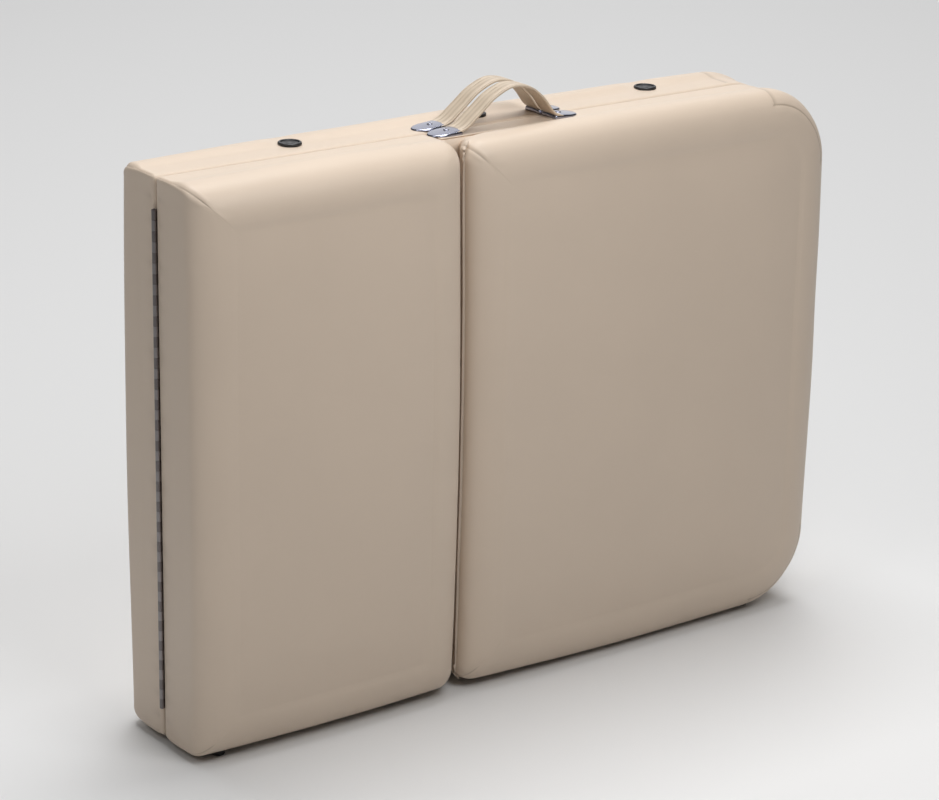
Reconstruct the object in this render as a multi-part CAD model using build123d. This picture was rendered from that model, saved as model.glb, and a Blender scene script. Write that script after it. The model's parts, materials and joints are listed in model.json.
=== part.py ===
from build123d import *

import os

# A portable massage table in three sections, folded into a case that stands on its long side.
# The head half (seat and backrest) lies at -Y, the foot half at +Y, and the piano hinge is the
# upright line x = 0, y = 0. Measures are in millimetres from that line and from the case's
# lower side, and every piece is moved to the case's own origin when it is written.

# Case
LENGTH = 957.0            # hinge line to the far end
WIDTH = 700.0             # height of the case, which is the width of the table
HALF = 98.0               # thickness of one half, parting plane to pad face
FACE = 1.5                # parting face of each half, from the parting plane
END = 1.2                 # end face of each half, from the hinge line
SKIN = 1.2                # vinyl
CORNER_R = 95.0           # far corners
NEAR_R = 8.0              # frame corners beside the hinge
SOFT_R = 4.0              # rounded edge of the frame, so that it does not cut the vinyl
EDGE_R = 30.0             # rolled edge of a pad
FRAME_Y = 35.0            # depth of the wooden frame
RAIL = 18.0               # thickness of a frame rail
BOARD = 12.0              # plywood under the foam
TILT_LIFT = 0.4           # the backrest lies this far off the frame
MID_Z = WIDTH / 2

# Gap between seat and backrest, and the backrest's pivot in the middle of its rolled edge
SEAT_END = 378.0
ROLL_R = (HALF - FRAME_Y - TILT_LIFT) / 2
TILT_X = 388.0 + ROLL_R
TILT_Y = FRAME_Y + TILT_LIFT + ROLL_R
CHEEK_Z = 230.0           # hinge cheeks, either side of the middle
PLATE = 4.0

# Piano hinge
KNUCKLE = 12.7
KNUCKLES = 49
KNUCKLE_GAP = 0.4
BARREL_R = 3.1
PIN_R = 1.25
FIT = 0.06
LEAF_X = 19.0
LEAF_T = 1.2

# Legs
LEG_X = 880.0             # pivot of each leg frame
LEG_Y = 15.0
LEG_R = 10.0
LEG_WALL = 1.5
LEG_LENGTH = 586.0        # pivot to the end of the rubber tip
TIP = 40.0
TIP_R = 12.5
CROSS_AT = 460.0
HEAD_LEG_Z = 288.0        # either side of the middle
FOOT_LEG_Z = 254.0        # nearer the middle, so that the two frames pass each other
BOLT_R = 4.0
LEG_RAIL_X = LEG_X + 15.0

# Folding stays: two equal bars, straight at 45 degrees when the leg is upright
STAY_AT = 350.0
STAY_BAR = STAY_AT / 2 ** 0.5
STAY_H = 14.0
STAY_T = 3.0

# Backrest stay: a bail hinged under the board, whose rod slides along two racks
BAIL_ARM = 235.0
BAIL_AT = 200.0
BAIL_Y = 30.0
BAIL_Z = 150.0
BAIL_R = 4.0
RACK_T = 8.0
NOTCH_PITCH = 24.0

# Handles, catches, vents, feet
HANDLE_X = 482.0
HANDLE_Y = 17.0
HANDLE_W = 28.0
STRAP_T = 4.0
CAP_L = 41.0
CAP_H = 6.5
CAP_AT = 90.5
SCREW_AT = 85.0
HANDLE_H = 52.0
CATCH_Z = (200.0, 500.0)
CATCH_Y = 18.0
VENT_X = (210.0, 481.0, 752.0)
VENT_Y = 40.0
VENT_R = 14.5
CASE_FOOT_X = (42.0, 872.0)
CASE_FOOT_Y = 58.0
CASE_FOOT_R = 9.5
CASE_FOOT_H = 10.0

# The case stands on its feet, so the origin is under the middle of its outline.
CATCH_OUT = 9.0
MID_X = (LENGTH + CATCH_OUT - BARREL_R) / 2
HOME = Pos(-MID_X, 0, CASE_FOOT_H)

nodes = {}


def keep(name, *shapes):
    """Collects the separate solids of one node."""
    solids = []
    for shape in shapes:
        solids += shape.solids()
    nodes[name] = solids


def foot_side(shape):
    """The same piece on the other half: its mirror image in the parting plane."""
    return mirror(shape, Plane.XZ)


def block(x0, x1, y0, y1, z0, z1):
    """A box between two corners."""
    return Pos((x0 + x1) / 2, (y0 + y1) / 2, (z0 + z1) / 2) * Box(x1 - x0, y1 - y0, z1 - z0)


def post(x, y, z0, z1, r):
    """A round bar along Z."""
    return Pos(x, y, (z0 + z1) / 2) * Cylinder(r, z1 - z0)


def stud(x0, x1, y, z, r):
    """A round bar along X."""
    return Pos((x0 + x1) / 2, y, z) * Rot(0, 90, 0) * Cylinder(r, x1 - x0)


def case_outline(x0, inset, x1=LENGTH, round_far=True):
    """The case's side view between two stations, drawn in from its skin by the inset."""
    far = x1 - (inset if round_far else 0)
    face = Pos((x0 + far) / 2, MID_Z) * Rectangle(far - x0, WIDTH - 2 * inset)
    if round_far:
        face = fillet(face.vertices().group_by(Axis.X)[-1], CORNER_R - inset)
    return face


def head_slab(face, y_in, y_out):
    """A side-view face given thickness on the head half, from y_in to y_out off the plane."""
    return Pos(0, -y_in, 0) * Rot(90, 0, 0) * extrude(face, y_out - y_in)


# Frame of the head half --------------------------------------------------------------------

HINGE_Z0 = MID_Z - KNUCKLE * KNUCKLES / 2
HINGE_Z1 = MID_Z + KNUCKLE * KNUCKLES / 2


def hinge_notch():
    """Room for the hinge barrel along the end of a half."""
    reach = BARREL_R + 1.1
    return block(-1, reach, -reach, 0, HINGE_Z0 - 1, HINGE_Z1 + 1)


inner_x = END + SKIN + RAIL
corner_x = LENGTH - CORNER_R

band = head_slab(case_outline(END, 0), FACE, FRAME_Y)
band -= head_slab(case_outline(END + SKIN, SKIN), FACE - 1, FRAME_Y + 1)
band -= hinge_notch()

soft_face = case_outline(END + SKIN, SKIN)
soft_face = fillet(soft_face.vertices().group_by(Axis.X)[0], NEAR_R - SKIN)
soft_slab = head_slab(soft_face, FACE, FRAME_Y)
soft_slab = fillet(soft_slab.faces().sort_by(Axis.Y)[-1].edges(), SOFT_R)

hinge_rail = block(END + SKIN, inner_x, -FRAME_Y, -FACE, SKIN, WIDTH - SKIN) - hinge_notch()
side_rails = [
    block(inner_x, corner_x, -FRAME_Y, -FACE, z, z + RAIL)
    for z in (SKIN, WIDTH - SKIN - RAIL)
]
far_rail = block(
    LENGTH - SKIN - RAIL, LENGTH - SKIN, -FRAME_Y, -FACE, CORNER_R, WIDTH - CORNER_R
)
ring = head_slab(case_outline(END, SKIN), FACE, FRAME_Y)
ring -= head_slab(case_outline(END, SKIN + RAIL), FACE - 1, FRAME_Y + 1)
corners = [
    ring & block(corner_x, LENGTH, -FRAME_Y, -FACE, z, z + CORNER_R)
    for z in (0, WIDTH - CORNER_R)
]
leg_rail = block(LEG_RAIL_X, LEG_RAIL_X + RAIL, -FRAME_Y, -FACE, 45, WIDTH - 45)

for half, place in (("head", lambda s: s), ("foot", foot_side)):
    keep(half + "_cover_band", place(band))
    keep(half + "_end_rails", place(hinge_rail & soft_slab), place(far_rail & soft_slab))
    keep(half + "_side_rails", *[place(r & soft_slab) for r in side_rails])
    keep(half + "_corner_blocks", *[place(c & soft_slab) for c in corners])
    keep(half + "_leg_rail", place(leg_rail))

SPINE_Z = 80.0
keep("seat_spine", block(SEAT_END + 2 - RAIL, SEAT_END + 2, -FRAME_Y, -17, SPINE_Z, WIDTH - SPINE_Z))


# Boards and pads ---------------------------------------------------------------------------

def pad(face, y_in, skip_near):
    """Foam pad in its vinyl: the side view given thickness, with a rolled edge at its face."""
    solid = head_slab(face, y_in, HALF)
    edges = solid.faces().sort_by(Axis.Y)[0].edges()
    if skip_near:
        edges = edges.sort_by(Axis.X)[1:]
    return fillet(edges, EDGE_R)


def board_under(x0, x1, y_in, round_far):
    """Plywood board let into the underside of a pad."""
    face = case_outline(x0 + SKIN, 3 * SKIN, x1, round_far)
    return head_slab(face, y_in, y_in + BOARD)


seat_board = board_under(END, SEAT_END - SKIN, FRAME_Y, False)
seat_pad = pad(case_outline(END, 0, SEAT_END, False), FRAME_Y, False) - seat_board
foot_board = board_under(END, LENGTH, FRAME_Y, True)
foot_pad = pad(case_outline(END, 0), FRAME_Y, False) - foot_board
keep("seat_board", seat_board)
keep("seat_cushion", seat_pad)
keep("foot_board", foot_side(foot_board))
keep("foot_cushion", foot_side(foot_pad))

# The backrest's near edge is a half round about its pivot, so it turns in its own place.
back_y = FRAME_Y + TILT_LIFT
back_pad = pad(case_outline(TILT_X, 0), back_y, True)
near_face = back_pad.faces().sort_by(Axis.X)[0]
near_roll = extrude(near_face, ROLL_R, dir=(-1, 0, 0)) & post(TILT_X, -TILT_Y, 0, WIDTH, ROLL_R)
back_pad += near_roll
back_board = board_under(TILT_X, LENGTH, back_y, True)
arm_x = TILT_X + 55
slots = [
    block(TILT_X - ROLL_R - 2, arm_x, -89, -back_y, z - 5.5, z + 7.5)
    for z in (MID_Z - CHEEK_Z, MID_Z + CHEEK_Z)
]
back_pad -= back_board
for slot in slots:
    back_pad -= slot
    back_board -= slot
keep("backrest_board", back_board)
keep("backrest_cushion", back_pad)


# Backrest hinge: cheeks on the frame, arms let into the board, one bolt through each pair ----

def hull_plate(z, t, *shapes):
    """A flat plate across Z, as if a band were drawn tight round a few flat shapes."""
    edges = [edge for shape in shapes for edge in shape.edges()]
    return Pos(0, 0, z - t / 2) * extrude(make_hull(edges), t)


def flat_link(x0, x1, y, r, z, t):
    """A flat bar with round ends along X."""
    return hull_plate(z, t, Pos(x0, y) * Circle(r), Pos(x1, y) * Circle(r))


cheeks = []
arms = []
tilt_bolts = []
for z in (MID_Z - CHEEK_Z, MID_Z + CHEEK_Z):
    cheek_z = z - PLATE / 2 - 0.5
    arm_z = z + PLATE / 2 + 0.5
    eye = Pos(TILT_X, -TILT_Y) * Circle(9)
    cheek = hull_plate(cheek_z, PLATE, Pos(SEAT_END + 10, -25.9) * Rectangle(15.8, 17.8), eye)
    cheeks.append(cheek - post(TILT_X, -TILT_Y, z - 20, z + 20, BOLT_R))
    arm = hull_plate(arm_z, PLATE, Pos(arm_x - 15, -back_y - BOARD / 2) * Rectangle(30, BOARD), eye)
    arms.append(arm - post(TILT_X, -TILT_Y, z - 20, z + 20, BOLT_R + FIT))
    tilt_bolts.append(post(TILT_X, -TILT_Y, cheek_z - PLATE / 2, arm_z + PLATE / 2, BOLT_R))
keep("backrest_hinge_cheeks", *cheeks)
keep("backrest_hinge_arms", *arms)
keep("backrest_hinge_bolts", *tilt_bolts)


# Backrest stay and its racks ---------------------------------------------------------------

bail_x = TILT_X + BAIL_AT
rod_x = bail_x + BAIL_ARM
rod_reach = WIDTH / 2 - SKIN - RAIL - 4
bail_arms = []
bail_lugs = []
for z in (MID_Z - BAIL_Z, MID_Z + BAIL_Z):
    bar = flat_link(bail_x, rod_x, -BAIL_Y, BAIL_R, z, PLATE)
    bar -= post(bail_x, -BAIL_Y, z - 5, z + 5, 2.5 + FIT)
    bail_arms.append(bar - post(rod_x, -BAIL_Y, z - 5, z + 5, BAIL_R - 1))
    lug = block(bail_x - 8, bail_x + 8, -back_y, -BAIL_Y + 4, z + 2.5, z + 5.5)
    lug += post(bail_x, -BAIL_Y, z - 3, z + 2.5, 2.5)
    bail_lugs.append(lug)
rod = post(rod_x, -BAIL_Y, MID_Z - rod_reach, MID_Z + rod_reach, BAIL_R)
for z in (MID_Z - BAIL_Z, MID_Z + BAIL_Z):
    rod -= block(rod_x - 9, rod_x + 9, -BAIL_Y - 9, -BAIL_Y + 9, z - PLATE / 2, z + PLATE / 2)
    rod += post(rod_x, -BAIL_Y, z - PLATE / 2, z + PLATE / 2, BAIL_R - 1)
keep("backrest_stay_arms", *bail_arms)
keep("backrest_stay_rod", rod)
keep("backrest_stay_lugs", *bail_lugs)

rack_x0 = TILT_X + 120
rack_x1 = corner_x - 4
rack_y = -BAIL_Y + BAIL_R + 1.2
racks = []
for z in (SKIN + RAIL, WIDTH - SKIN - RAIL - RACK_T):
    rack = block(rack_x0, rack_x1, rack_y, -15, z, z + RACK_T)
    x = rack_x0 + NOTCH_PITCH
    while x < rack_x0 + 7 * NOTCH_PITCH:
        rack -= post(x, rack_y, z - 1, z + RACK_T + 1, BAIL_R + 0.5)
        x += NOTCH_PITCH
    racks.append(rack)
keep("backrest_racks", *racks)


# Legs and their stays ----------------------------------------------------------------------

def leg_set(reach):
    """Brackets, bolts, tubes, crossbar, tips and stays of one leg frame on the head side."""
    made = {name: [] for name in ("brackets", "bolts", "tubes", "tips", "posts", "bars", "links")}
    for side in (-1, 1):
        z = MID_Z + side * reach
        ear_out = LEG_R + 0.5
        bracket = block(LEG_RAIL_X - 3, LEG_RAIL_X, -25, -5, z - ear_out - 3, z + ear_out + 3)
        for ear in (-1, 1):
            ear_z = z + ear * (ear_out + 1.5)
            bracket += block(LEG_X, LEG_RAIL_X, -25, -5, ear_z - 1.5, ear_z + 1.5)
            bracket += post(LEG_X, -LEG_Y, ear_z - 1.5, ear_z + 1.5, 10)
        made["brackets"].append(bracket - post(LEG_X, -LEG_Y, z - 30, z + 30, BOLT_R))
        bolt = post(LEG_X, -LEG_Y, z - ear_out - 3, z + ear_out + 3, BOLT_R)
        for end in (-1, 1):
            head_z = z + end * (ear_out + 3)
            bolt += post(LEG_X, -LEG_Y, min(head_z, head_z + end * 4), max(head_z, head_z + end * 4), 7)
        made["bolts"].append(bolt)
        tube_end = LEG_X - LEG_LENGTH + 6
        tube = stud(tube_end, LEG_X + 6, -LEG_Y, z, LEG_R)
        tube -= stud(tube_end - 1, LEG_X + 7, -LEG_Y, z, LEG_R - LEG_WALL)
        tube -= post(LEG_X, -LEG_Y, z - 30, z + 30, BOLT_R + FIT)
        made["tubes"].append(tube)
        tip = stud(LEG_X - LEG_LENGTH, LEG_X - LEG_LENGTH + TIP, -LEG_Y, z, TIP_R)
        made["tips"].append(tip - stud(tube_end, LEG_X, -LEG_Y, z, LEG_R))
        stay_x = LEG_X - STAY_AT
        link_z = z + side * (LEG_R + 1 + STAY_T / 2)
        bar_z = link_z + side * (STAY_T + 1)
        wall_z = MID_Z + side * (MID_Z - SKIN - RAIL)
        link = flat_link(stay_x, stay_x + STAY_BAR, -LEG_Y, STAY_H / 2, link_z, STAY_T)
        bar = flat_link(stay_x, stay_x + STAY_BAR, -LEG_Y, STAY_H / 2, bar_z, STAY_T)
        made["links"].append(link - post(stay_x, -LEG_Y, z - 60, z + 60, 3 + FIT))
        rivet = post(stay_x + STAY_BAR, -LEG_Y, bar_z, bar_z + side * 4, 4) if side > 0 else post(
            stay_x + STAY_BAR, -LEG_Y, bar_z - 4, bar_z, 4
        )
        made["bars"].append((bar - post(stay_x, -LEG_Y, z - 60, z + 60, 3 + FIT)) + rivet)
        inner, outer = sorted((bar_z + side * (STAY_T / 2 + 0.4), wall_z))
        anchor = post(stay_x, -LEG_Y, inner, outer, 6)
        inner, outer = sorted((bar_z - side * STAY_T / 2, wall_z))
        made["posts"].append(anchor + post(stay_x, -LEG_Y, inner, outer, 3))
        inner, outer = sorted((z + side * (LEG_R - 0.6), link_z + side * STAY_T / 2))
        pivot = post(stay_x, -LEG_Y, inner, outer, 3)
        made.setdefault("pins", []).append(pivot)
    z0, z1 = MID_Z - reach + LEG_R, MID_Z + reach - LEG_R
    cross = post(LEG_X - CROSS_AT, -LEG_Y, z0 - 2, z1 + 2, 8)
    for side in (-1, 1):
        cross -= stud(200, 900, -LEG_Y, MID_Z + side * reach, LEG_R)
    made["crossbar"] = [cross]
    return made


for half, reach, place in (
    ("head", HEAD_LEG_Z, lambda s: s),
    ("foot", FOOT_LEG_Z, foot_side),
):
    pieces = leg_set(reach)
    tubes = [
        tube - pin for tube, pin in zip(pieces["tubes"], pieces["pins"])
    ]
    keep(half + "_leg_brackets", *[place(s) for s in pieces["brackets"]])
    keep(half + "_leg_bolts", *[place(s) for s in pieces["bolts"]])
    keep(half + "_leg_tubes", *[place(s) for s in tubes])
    keep(half + "_leg_crossbar", *[place(s) for s in pieces["crossbar"]])
    keep(half + "_leg_tips", *[place(s) for s in pieces["tips"]])
    keep(half + "_leg_stay_pins", *[place(s) for s in pieces["pins"]])
    keep(half + "_leg_stays", *[place(s) for s in pieces["links"]])
    keep(half + "_rail_stays", *[place(s) for s in pieces["bars"]])
    keep(half + "_stay_posts", *[place(s) for s in pieces["posts"]])


# Piano hinge -------------------------------------------------------------------------------

def hinge_leaf(first):
    """The head side's leaf with every other knuckle, counted from the first."""
    leaf = block(BARREL_R + 0.4, LEAF_X, -FACE, -FACE + LEAF_T, HINGE_Z0, HINGE_Z1)
    knuckles = []
    for i in range(first, KNUCKLES, 2):
        z0 = HINGE_Z0 + i * KNUCKLE + KNUCKLE_GAP / 2
        z1 = z0 + KNUCKLE - KNUCKLE_GAP
        knuckles.append(post(0, 0, z0, z1, BARREL_R))
        knuckles.append(block(0, BARREL_R + 0.5, -FACE, -FACE + LEAF_T, z0, z1))
    return leaf + knuckles - post(0, 0, 0, WIDTH, PIN_R + FIT)


keep("hinge_leaf_head", hinge_leaf(0))
keep("hinge_leaf_foot", foot_side(hinge_leaf(1)))
keep("hinge_pin", post(0, 0, HINGE_Z0 - 1, HINGE_Z1 + 1, PIN_R))


# Handles -----------------------------------------------------------------------------------

def strap():
    """A carrying strap: flat ends under the caps, flared up into a round bow."""
    flat = WIDTH + STRAP_T / 2 + 0.2
    mouth = CAP_AT - CAP_L / 2
    spring = 56.0
    spring_z = WIDTH + 12.5
    with BuildLine() as route:
        ThreePointArc((-spring, spring_z), (0, WIDTH + HANDLE_H), (spring, spring_z))
        for side in (-1, 1):
            tongue = Line((side * (CAP_AT + 10), flat), (side * mouth, flat))
            TangentArc(tongue @ 1, (side * spring, spring_z), tangent=tongue % 1)
    face = trace(route.line, STRAP_T)
    return Pos(HANDLE_X, -HANDLE_Y + HANDLE_W / 2, 0) * Rot(90, 0, 0) * extrude(face, HANDLE_W)


def cap(side):
    """A chrome end cap, a low rounded hood open towards the bow, over one strap end."""
    x = HANDLE_X + side * CAP_AT
    hood = Pos(x, -HANDLE_Y, WIDTH + CAP_H / 2) * Box(CAP_L, HANDLE_W + 2.5, CAP_H)
    outer = hood.edges().filter_by(Axis.Z).sort_by(Axis.X)
    outer = outer[-2:] if side > 0 else outer[:2]
    hood = fillet(outer, 10)
    top = hood.faces().sort_by(Axis.Z)[-1].edges()
    hood = fillet(top, 1.2)
    inside = 2 * CAP_AT + 20.5
    strap_room = block(
        HANDLE_X - inside / 2, HANDLE_X + inside / 2,
        -HANDLE_Y - HANDLE_W / 2, -HANDLE_Y + HANDLE_W / 2, WIDTH, WIDTH + STRAP_T + 0.4
    )
    return hood - strap_room


def cap_screw(side):
    """The countersunk screw through a cap and the strap into the rail below."""
    x = HANDLE_X + side * SCREW_AT
    screw = post(x, -HANDLE_Y, WIDTH - 16, WIDTH + CAP_H, 2)
    return screw + Pos(x, -HANDLE_Y, WIDTH + CAP_H - 0.4) * Cylinder(4.5, 1.6)


strap_shape = strap()
head_caps = [cap(side) for side in (-1, 1)]
screws = [cap_screw(side) for side in (-1, 1)]
for screw in screws:
    strap_shape -= screw
head_caps = [c - s for c, s in zip(head_caps, screws)]
for half, place in (("head", lambda s: s), ("foot", foot_side)):
    keep(half + "_handle_strap", place(strap_shape))
    keep(half + "_handle_caps", *[place(c) for c in head_caps])
    keep(half + "_handle_screws", *[place(s) for s in screws])
    for base in ("_side_rails", "_cover_band"):
        cut = []
        for solid in nodes[half + base]:
            for screw in screws:
                solid = solid - place(screw)
            cut += solid.solids()
        nodes[half + base] = cut


# Catches on the far end: a hook turns on the head half and drops over a stud -----------------

def catch(z):
    """Plate with its pivot, hook, and the stud on the other half."""
    plate = block(LENGTH, LENGTH + 2, -30, -5, z - 12, z + 12)
    plate += stud(LENGTH + 2, LENGTH + 6, -CATCH_Y, z, 3)
    plate += stud(LENGTH + 6, LENGTH + 8, -CATCH_Y, z, 5)
    keeper = block(LENGTH, LENGTH + 2, 6, 30, z - 12, z + 12)
    keeper += stud(LENGTH + 2, LENGTH + 7, CATCH_Y, z, 3)
    keeper += stud(LENGTH + 7, LENGTH + CATCH_OUT, CATCH_Y, z, 4.5)
    hook = block(LENGTH + 2.6, LENGTH + 5.6, -CATCH_Y, 27, z - 6.5, z + 7.5)
    hook += stud(LENGTH + 2.6, LENGTH + 5.6, -CATCH_Y, z, 8)
    hook += block(LENGTH + 2.6, LENGTH + 5.6, 23.5, 34, z - 3, z + 7.5)
    hook -= stud(LENGTH, LENGTH + 9, -CATCH_Y, z, 3 + FIT)
    hook -= stud(LENGTH, LENGTH + 9, CATCH_Y, z, 3.5)
    hook -= block(LENGTH, LENGTH + 9, CATCH_Y - 4.6, CATCH_Y + 3.5, z - 12, z)
    return plate, keeper, hook


lower, upper = catch(CATCH_Z[0]), catch(CATCH_Z[1])
keep("catch_plates", lower[0], upper[0])
keep("catch_studs", lower[1], upper[1])
keep("catch_hook_lower", lower[2])
keep("catch_hook_upper", upper[2])


# Vents and case feet -----------------------------------------------------------------------

vents = []
for x in VENT_X:
    vent = Pos(x, VENT_Y, WIDTH + 1.4) * Cylinder(VENT_R, 2.8)
    vent = fillet(vent.faces().sort_by(Axis.Z)[-1].edges(), 1.2)
    vent -= Pos(x, VENT_Y, WIDTH + 2) * Cylinder(VENT_R - 5, 2.4)
    vents.append(vent)
keep("vent_discs", *vents)


def case_foot(x, pad_above):
    """A tapered rubber foot under the case's lower side, its top shaped to the pad above it."""
    cone = Pos(x, -CASE_FOOT_Y, -CASE_FOOT_H / 2) * Cone(8, CASE_FOOT_R, CASE_FOOT_H)
    return cone + post(x, -CASE_FOOT_Y, 0, FOOT_SHIM, CASE_FOOT_R) - pad_above


FOOT_SHIM = 3.0           # the far feet reach up to where the outline begins to turn
keep("seat_case_foot", case_foot(CASE_FOOT_X[0], seat_pad))
keep("backrest_case_foot", case_foot(CASE_FOOT_X[1], back_pad))
keep("foot_case_feet", *[foot_side(case_foot(x, foot_pad)) for x in CASE_FOOT_X])


os.makedirs("parts", exist_ok=True)
for name, solids in nodes.items():
    placed = [HOME * solid for solid in solids]
    export_step(placed[0] if len(placed) == 1 else Compound(children=placed), f"parts/{name}.step")
print(len(nodes), "nodes")
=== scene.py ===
import json

import bpy
import numpy as np
from mathutils import Matrix, Vector


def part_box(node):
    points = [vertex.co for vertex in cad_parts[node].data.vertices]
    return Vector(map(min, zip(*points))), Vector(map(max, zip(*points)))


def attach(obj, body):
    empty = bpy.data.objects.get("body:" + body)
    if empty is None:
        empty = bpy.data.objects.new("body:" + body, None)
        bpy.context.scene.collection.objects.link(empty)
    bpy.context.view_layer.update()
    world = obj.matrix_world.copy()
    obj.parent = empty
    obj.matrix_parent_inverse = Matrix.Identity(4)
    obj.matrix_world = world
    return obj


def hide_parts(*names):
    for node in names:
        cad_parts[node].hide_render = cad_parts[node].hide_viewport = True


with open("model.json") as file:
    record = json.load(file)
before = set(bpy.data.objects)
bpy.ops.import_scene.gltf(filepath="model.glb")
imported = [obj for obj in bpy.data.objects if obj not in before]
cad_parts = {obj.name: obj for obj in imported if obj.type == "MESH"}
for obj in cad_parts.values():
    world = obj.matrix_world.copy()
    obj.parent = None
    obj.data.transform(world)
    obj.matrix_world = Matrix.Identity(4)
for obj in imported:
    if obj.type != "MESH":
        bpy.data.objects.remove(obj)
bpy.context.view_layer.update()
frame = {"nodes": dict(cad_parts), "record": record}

mm = 0.001

# ---- Foot pad cover --------------------------------------------------------------------------
# The long pad of the foot half: foam on a plywood board, covered in one skin of beige vinyl that
# runs down over the wooden frame and is folded and stapled on its inner edge. The far corners
# are cut round, with a gusset sewn in, and the two square corners are darted.


def rim(x0, x1, z0, z1, inset, radii):
    """Rounded rectangles, one for each row of inset. A quarter turn is its centre plus r times
    (cos a, sin a), and a side runs straight between two turns, closer spaced towards them."""
    turn = np.linspace(0, np.pi / 2, 25)
    u = np.linspace(0, 1, 62)[1:-1]
    along = 0.8 * (0.5 - 0.5 * np.cos(np.pi * u)) + 0.2 * u
    corners = ((x0, z0, np.pi), (x1, z0, 1.5 * np.pi), (x1, z1, 0.0), (x0, z1, 0.5 * np.pi))
    starts, ends, arcs = [], [], []
    for (x, z, first), r in zip(corners, radii):
        cx = x + np.where(x == x0, 1, -1) * (inset + r)
        cz = z + np.where(z == z0, 1, -1) * (inset + r)
        angle = first + turn
        arcs.append(np.stack([cx + r * np.cos(angle), cz + r * np.sin(angle)], -1))
        starts.append(arcs[-1][:, :1])
        ends.append(arcs[-1][:, -1:])
    parts, normals = [], []
    for k, (_, _, first) in enumerate(corners):
        a, b = ends[k], starts[(k + 1) % 4]
        parts += [arcs[k], a + (b - a) * along[None, :, None]]
        last = first + np.pi / 2
        normals += [first + turn, np.full(len(along), last)]
    angle = np.concatenate(normals)
    return np.concatenate(parts, 1), np.stack([np.cos(angle), np.sin(angle)], -1)


TURN, RUN = 25, 60
BLOCK = TURN + RUN


def columns(*spans):
    """Weight 1 on the columns of the given turns ('t0' to 't3') and sides ('s0' to 's3')."""
    weight = np.zeros(4 * BLOCK)
    for span in spans:
        first = int(span[1]) * BLOCK + (TURN if span[0] == "s" else 0)
        weight[first:first + (RUN if span[0] == "s" else TURN)] = 1
    return weight


def near(distance, width):
    """A bell curve, 1 at no distance."""
    return np.exp(-(distance / width) ** 2)


def swell(points, seed):
    """Slow unevenness of stuffed vinyl: six slanted sine waves of unlike length, summed."""
    rng = np.random.default_rng(seed)
    total = np.zeros(points.shape[:-1])
    for _ in range(6):
        way = rng.normal(size=3)
        way /= np.linalg.norm(way)
        length = rng.uniform(0.07, 0.24)
        total += np.sin(points @ way * 2 * np.pi / length + rng.uniform(0, 6.3)) * length / 0.24
    return total / 3


def shell(name, rows, seam_and_pinch_shade=None):
    """A closed skin from rows of points round a body, with a fan at the first and the last row."""
    rows = np.asarray(rows)
    m, n = rows.shape[:2]
    points = rows.reshape(-1, 3)
    points = np.vstack([points, rows[0].mean(0), rows[-1].mean(0)])
    i, j = np.meshgrid(np.arange(m - 1), np.arange(n), indexing="ij")
    k = (j + 1) % n
    quads = np.stack([i * n + j, i * n + k, (i + 1) * n + k, (i + 1) * n + j], -1).reshape(-1, 4)
    j = np.arange(n)
    k = (j + 1) % n
    first = np.stack([k, j, np.full(n, m * n)], -1)
    last = np.stack([(m - 1) * n + j, (m - 1) * n + k, np.full(n, m * n + 1)], -1)
    tris = np.vstack([quads[:, [0, 1, 2]], quads[:, [0, 2, 3]], first, last])
    a, b, c = points[tris[:, 0]], points[tris[:, 1]], points[tris[:, 2]]
    turned = np.einsum("ij,ij->i", a, np.cross(b, c)).sum() < 0
    faces = quads.tolist() + first.tolist() + last.tolist()
    if turned:
        faces = [face[::-1] for face in faces]
    mesh = bpy.data.meshes.new(name)
    mesh.from_pydata(points.tolist(), [], faces)
    mesh.polygons.foreach_set("use_smooth", [True] * len(faces))
    if seam_and_pinch_shade is not None:
        value = np.concatenate([np.asarray(seam_and_pinch_shade).reshape(-1), [seam_and_pinch_shade[0].mean(), seam_and_pinch_shade[-1].mean()]])
        mesh.attributes.new("seam_and_pinch_shade", "FLOAT", "POINT").data.foreach_set("value", value)
    piece = bpy.data.objects.new(name, mesh)
    bpy.context.scene.collection.objects.link(piece)
    return piece


pad_lo, pad_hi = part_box("foot_cushion")
band_lo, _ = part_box("foot_cover_band")
HALF = pad_hi.y
hinge_line = pad_lo.x - 1.1 * mm
PARTING = band_lo.y
Z0, Z1 = pad_lo.z, pad_hi.z
FAR_R = 95 * mm
ROLL_IN = 50 * mm
ROLL_UP = 40 * mm
FRAME = 36 * mm
SEWN = 0.49
TUCK = 17 * mm
BOARD_IN = 40 * mm


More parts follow.
